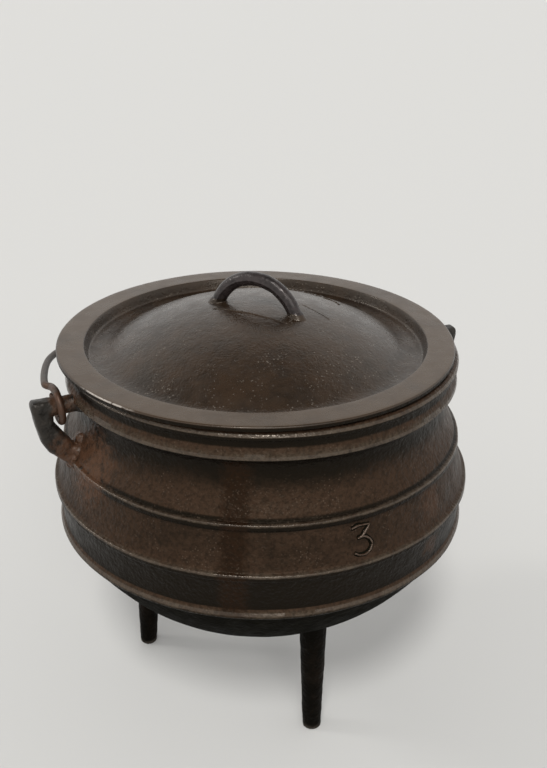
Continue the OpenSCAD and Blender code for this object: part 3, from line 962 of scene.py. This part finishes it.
class IRONPOT_OT_lid(bpy.types.Operator):
    """Turn the lid with its brim, channel and dome"""

    bl_idname = "ironpot.lid"
    bl_label = "Lid"

    def execute(self, context):
        sizes = context.scene.lid_sizes
        radius = LID_RADIUS / MM
        brim_in = radius - sizes.brim_width / MM
        brim_top = RIM_Z / MM + 4.6
        floor = brim_top - 7.0
        dome = sizes.dome_radius / MM
        dome_middle = height_of("lid_plate") / MM - dome
        blend = 20.0
        blend_z = floor + blend
        blend_r = math.sqrt((dome + blend) ** 2 - (blend_z - dome_middle) ** 2)
        blend_angle = math.degrees(math.atan2(blend_z - dome_middle, blend_r))
        under = RIM_Z / MM + 0.3
        top = arc_corners(0, dome_middle, dome, 90, blend_angle, 44)
        top += arc_corners(blend_r, blend_z, blend, blend_angle - 180, -90, 8)[1:]
        top += [(brim_in - 2.4, floor, 1.6), (brim_in, brim_top, 0.9), (radius, brim_top, 1.3), (radius, under + 1.5, 0.5),
                (radius - 2.6, under, 0.8), (112.0, under, 0.6), (111.8, floor - 4.5, 2.5)]
        top += arc_corners(blend_r, blend_z, blend + 4.5, -90, blend_angle - 180, 8)
        top += arc_corners(0, dome_middle, dome - 4.5, blend_angle, 90, 40)
        bm = line_to_bmesh(rounded_line(top, 2.6))
        spin_line(bm, 256)
        bmesh.ops.recalc_face_normals(bm, faces=bm.faces[:])
        waver(bm, 0.14 * MM, 30 * MM, 12.0)
        bm.normal_update()
        for face in bm.faces:
            middle = face.calc_center_median()
            if face.normal.z < 0.35 and (middle.x ** 2 + middle.y ** 2 > 0.12 ** 2 or face.normal.z < -0.5):
                face.material_index = 1
        bmesh.ops.translate(bm, verts=bm.verts[:], vec=(LID_MIDDLE.x, LID_MIDDLE.y, 0))
        piece = finish_object("lid_casting", bm, lid_iron())
        piece.data.materials.append(pot_iron())
        dress(piece, "lid", "lid_iron", "lid_plate")

        seams = bmesh.new()
        lines = [(((-28.3, 11.9), (6.2, -31.5)), 0.62, 0.5), (((26.9, -3.2), (35.0, -24.5)), 0.30, 0.5)]
        scab = [(64.5 * math.cos(math.radians(a)) + LID_MIDDLE.x / MM, 64.5 * math.sin(math.radians(a)) + LID_MIDDLE.y / MM)
                for a in range(46, 2, -4)]
        lines.append((scab, 0.8, 3.4))
        for ends, radius, wander in lines:
            points = []
            for x, y in smooth_path(ends, 32 if len(ends) == 2 else 8):
                place = Vector((x / 4.6, y / 4.6, 0))
                x += wander * noise.noise(place)
                y += wander * noise.noise(place + Vector((0, 0, 5)))
                flat = (x - LID_MIDDLE.x / MM) ** 2 + (y - LID_MIDDLE.y / MM) ** 2
                points.append(Vector((x, y, dome_middle + math.sqrt(dome ** 2 - flat) - 0.12)) * MM)
            ridge = wire_path("seam", points, radius * MM, 4)
            waver(ridge, 0.25 * radius * MM, 1.7 * MM, 17.0)
            join_bmesh(seams, ridge)
        seams.normal_update()
        for face in seams.faces:
            face.material_index = 1 if face.normal.z < 0.2 else 0
        piece = finish_object("lid_core_seams", seams, lid_iron())
        piece.data.materials.append(pot_iron())
        dress(piece, "lid", "lid_iron")
        return {"FINISHED"}


class IRONPOT_OT_lid_handle(bpy.types.Operator):
    """Cast the arched handle on the lid"""

    bl_idname = "ironpot.lid_handle"
    bl_label = "Lid handle"

    def execute(self, context):
        sizes = context.scene.lid_sizes
        arch = sizes.handle_radius
        rod_radius = sizes.handle_rod / 2
        middle = height_of("lid_handle") - arch - rod_radius
        section = []
        for step in range(41):
            across = -1 + step / 20
            section.append((rod_radius * (1 - abs(across) ** 2.3) ** 0.62, across * 4.45 * MM))
        flash = (0.28 * MM, 0.5 * MM)
        section = section[1:-1]
        tips = [(flash[0], 4.45 * MM), (0, 4.45 * MM + flash[1]), (-flash[0], 4.45 * MM)]
        inner = [(-0.88 * radial, across) for radial, across in reversed(section)]
        opposite = [(-radial, -across) for radial, across in tips]
        outline = section + tips + inner + opposite
        bm = bmesh.new()
        face = bm.faces.new([bm.verts.new((arch + radial, across, 0)) for radial, across in outline])
        bmesh.ops.rotate(bm, verts=bm.verts[:], cent=(0, 0, 0), matrix=Matrix.Rotation(math.radians(12), 3, "Y"))
        bmesh.ops.spin(bm, geom=[face], cent=(0, 0, 0), axis=(0, -1, 0), dvec=(0, 0, 0),
                       angle=math.radians(204), steps=84, use_merge=False, use_normal_flip=False,
                       use_duplicate=False)
        bmesh.ops.translate(bm, verts=bm.verts[:], vec=(0, 0, middle))
        bmesh.ops.recalc_face_normals(bm, faces=bm.faces[:])
        dome_top = height_of("lid_plate")
        dome_middle = Vector((0, 0, dome_top - sizes.dome_radius))
        for side in (-1, 1):
            tilt = Vector((-side * math.sin(math.radians(18)), 0, math.cos(math.radians(18))))
            x = side * (arch - 0.8 * MM)
            z = dome_middle.z + math.sqrt(sizes.dome_radius ** 2 - x * x)
            base = Vector((x, 0, z))
            rod(bm, base - tilt * 3 * MM, base + tilt * 1.9 * MM, 6.2 * MM, 4.6 * MM, 24)
        cuts = (((0, 0, dome_top - 7 * MM), (0, 0, -1)), ((0, 12 * MM, 0), (0, 1, 0)),
                ((0, -12 * MM, 0), (0, -1, 0)))
        cap_patch(bm, dome_middle, sizes.dome_radius - 0.35 * MM, cuts, 240)
        bm = melt(bm, 0.45 * MM, 3)
        keep_outside(bm, dome_middle, sizes.dome_radius - 3.8 * MM)
        waver(bm, 0.2 * MM, 7 * MM, 15.0)
        place = Matrix.Translation((LID_MIDDLE.x, LID_MIDDLE.y, 0)) @ Matrix.Rotation(sizes.handle_turn, 4, "Z")
        bmesh.ops.transform(bm, matrix=place, verts=bm.verts[:])
        lid_dome = place @ dome_middle
        bm.normal_update()
        for face in bm.faces:
            middle = face.calc_center_median()
            face.material_index = 1 if (middle - lid_dome).length > sizes.dome_radius + 2.6 * MM else 0
        piece = finish_object("lid_handle_casting", bm, lid_iron())
        piece.data.materials.append(handle_iron())
        dress(piece, "lid", "lid_iron", "lid_handle")
        return {"FINISHED"}


def bend(line, radius, start, end, steps):
    """Carries a wire's line on round a bend, with the angles, in degrees, at which the bend starts and ends."""
    here = line[-1]
    centre = here - radius * Vector((math.cos(math.radians(start)), math.sin(math.radians(start)), 0))
    for step in range(1, steps + 1):
        a = math.radians(start + (end - start) * step / steps)
        line.append(centre + radius * Vector((math.cos(a), math.sin(a), 0)))


class IRONPOT_OT_bail(bpy.types.Operator):
    """Bend the bail's wire from eye to eye"""

    bl_idname = "ironpot.bail"
    bl_label = "Bail"

    def execute(self, context):
        s = context.scene.bail_sizes
        leg_x = s.eye_reach + s.eye_radius * math.sin(s.eye_lean)
        leg_z = s.eye_radius * math.cos(s.eye_lean)
        half = []
        for step in range(91):
            a = math.radians(388 - 298 * step / 90)
            up = s.eye_radius * math.sin(a)
            half.append(Vector((s.eye_reach + up * math.sin(s.eye_lean), s.eye_radius * math.cos(a),
                                up * math.cos(s.eye_lean))))
        half.append(Vector((leg_x, s.rise / 2, leg_z)))
        half.append(Vector((leg_x, s.rise, leg_z)))
        bend(half, 8 * MM, 180, 150, 8)
        bend(half, 10 * MM, -30, 9, 10)
        bend(half, 330 * MM, 9, 18, 16)
        bend(half, 90 * MM, 18, 75, 30)
        bend(half, half[-1].x / math.cos(math.radians(75)), 75, 90, 14)
        other = [Vector((-p.x, p.y, p.z)) for p in reversed(half[:-1])]
        place = Matrix.Translation((0, 0, ARM_Z)) @ Matrix.Rotation(math.pi / 2 - s.folded, 4, "X")
        bm = wire_path("bail", [place @ p for p in half + other], s.wire / 2, 8)
        waver(bm, 0.12 * MM, 12 * MM, 20.0)
        piece = finish_object("bail_wire", bm, bail_steel())
        dress(piece, "bail", "bail_wire", "bail")
        return {"FINISHED"}


class IRONPOT_OT_stage(bpy.types.Operator):
    """Set the camera, the lamps and the pale floor"""

    bl_idname = "ironpot.stage"
    bl_label = "Stage"

    def execute(self, context):
        scene = context.scene
        turn = math.radians(25.5)
        pitch = math.radians(25.63)
        roll = math.radians(0.69)
        spot = Vector((7.81, -558.5, 486.8)) * MM
        right = Vector((1, 0, 0))
        up = Vector((0, math.sin(pitch), math.cos(pitch)))
        back = right.cross(up)
        image_right = right * math.cos(roll) + up * math.sin(roll)
        image_up = -right * math.sin(roll) + up * math.cos(roll)
        axes = Matrix((image_right, image_up, back)).transposed()
        to_row = Matrix.Rotation(-turn, 3, "Z")
        lens = bpy.data.cameras.new("photo_view")
        lens.sensor_fit = "HORIZONTAL"
        lens.sensor_width = 36
        lens.lens = 950 / 547 * 36
        lens.clip_end = 100
        camera = bpy.data.objects.new("photo_view", lens)
        camera.matrix_world = Matrix.Translation(to_row @ spot) @ (to_row @ axes).to_4x4()
        scene.collection.objects.link(camera)
        scene.camera = camera

        bm = bmesh.new()
        bmesh.ops.create_circle(bm, cap_ends=True, segments=96, radius=14)
        floor_look = Nodes("pale_floor")
        floor_look.shader.inputs["Base Color"].default_value = (*scene.pot_finishes.floor, 1)
        floor_look.shader.inputs["Roughness"].default_value = 0.7
        floor_look.shader.inputs["Specular IOR Level"].default_value = 0.2
        floor = finish_object("floor", bm, floor_look.material)

        world = bpy.data.worlds.new("studio")
        scene.world = world
        world.use_nodes = True
        nodes = world.node_tree.nodes
        links = world.node_tree.links
        sky = nodes["Background"]
        direction = nodes.new("ShaderNodeTexCoord")
        split = nodes.new("ShaderNodeSeparateXYZ")
        fade = nodes.new("ShaderNodeMapRange")
        fade.interpolation_type = "SMOOTHSTEP"
        links.new(direction.outputs["Generated"], split.inputs[0])
        links.new(split.outputs["Z"], fade.inputs["Value"])
        for key, number in (("From Min", 0.65), ("From Max", 0.93), ("To Min", 0.94), ("To Max", 0.18)):
            fade.inputs[key].default_value = number
        links.new(fade.outputs["Result"], sky.inputs["Strength"])
        sky.inputs["Color"].default_value = (1.0, 0.99, 0.975, 1)
        for name, spread, strength, side, height in (("key", 13, 1.40, -122, 56), ("fill", 22, 0.50, -100, 30), ("edge", 10, 0.45, 148, 30)):
            lamp = bpy.data.lights.new(name, "SUN")
            lamp.angle = math.radians(spread)
            lamp.energy = strength
            lamp.color = (1.0, 0.985, 0.96)
            holder = bpy.data.objects.new(name, lamp)
            level = math.cos(math.radians(height))
            toward = Vector((level * math.cos(math.radians(side)), level * math.sin(math.radians(side)),
                             math.sin(math.radians(height))))
            holder.rotation_euler = toward.to_track_quat("Z", "Y").to_euler()
            holder.location = toward * 2
            scene.collection.objects.link(holder)
        scene.view_settings.view_transform = "Standard"
        return {"FINISHED"}


class IRONPOT_PT_sidebar(bpy.types.Panel):
    """Lists the pot's steps and sizes"""

    bl_idname = "IRONPOT_PT_sidebar"
    bl_label = "Iron Pot"
    bl_space_type = "VIEW_3D"
    bl_region_type = "UI"
    bl_category = "Iron Pot"

    def draw(self, context):
        for step in STEPS:
            self.layout.operator(step.bl_idname)
        for name, group in GROUPS.items():
            box = self.layout.box()
            for key in group.__annotations__:
                box.prop(getattr(context.scene, name), key)


GROUPS = {"pot_sizes": PotSizes, "lid_sizes": LidSizes, "bail_sizes": BailSizes, "pot_finishes": Finishes}
STEPS = (IRONPOT_OT_bowl, IRONPOT_OT_size_figure, IRONPOT_OT_ears, IRONPOT_OT_legs, IRONPOT_OT_lid, IRONPOT_OT_lid_handle,
         IRONPOT_OT_bail, IRONPOT_OT_stage)
CLASSES = (*GROUPS.values(), *STEPS, IRONPOT_PT_sidebar)


def register():
    for item in CLASSES:
        bpy.utils.register_class(item)
    for name, group in GROUPS.items():
        setattr(bpy.types.Scene, name, PointerProperty(type=group))


def unregister():
    for name in GROUPS:
        delattr(bpy.types.Scene, name)
    for item in reversed(CLASSES):
        bpy.utils.unregister_class(item)


def main():
    register()
    for step in STEPS:
        family, name = step.bl_idname.split(".")
        getattr(getattr(bpy.ops, family), name)()


if __name__ == "__main__":
    main()
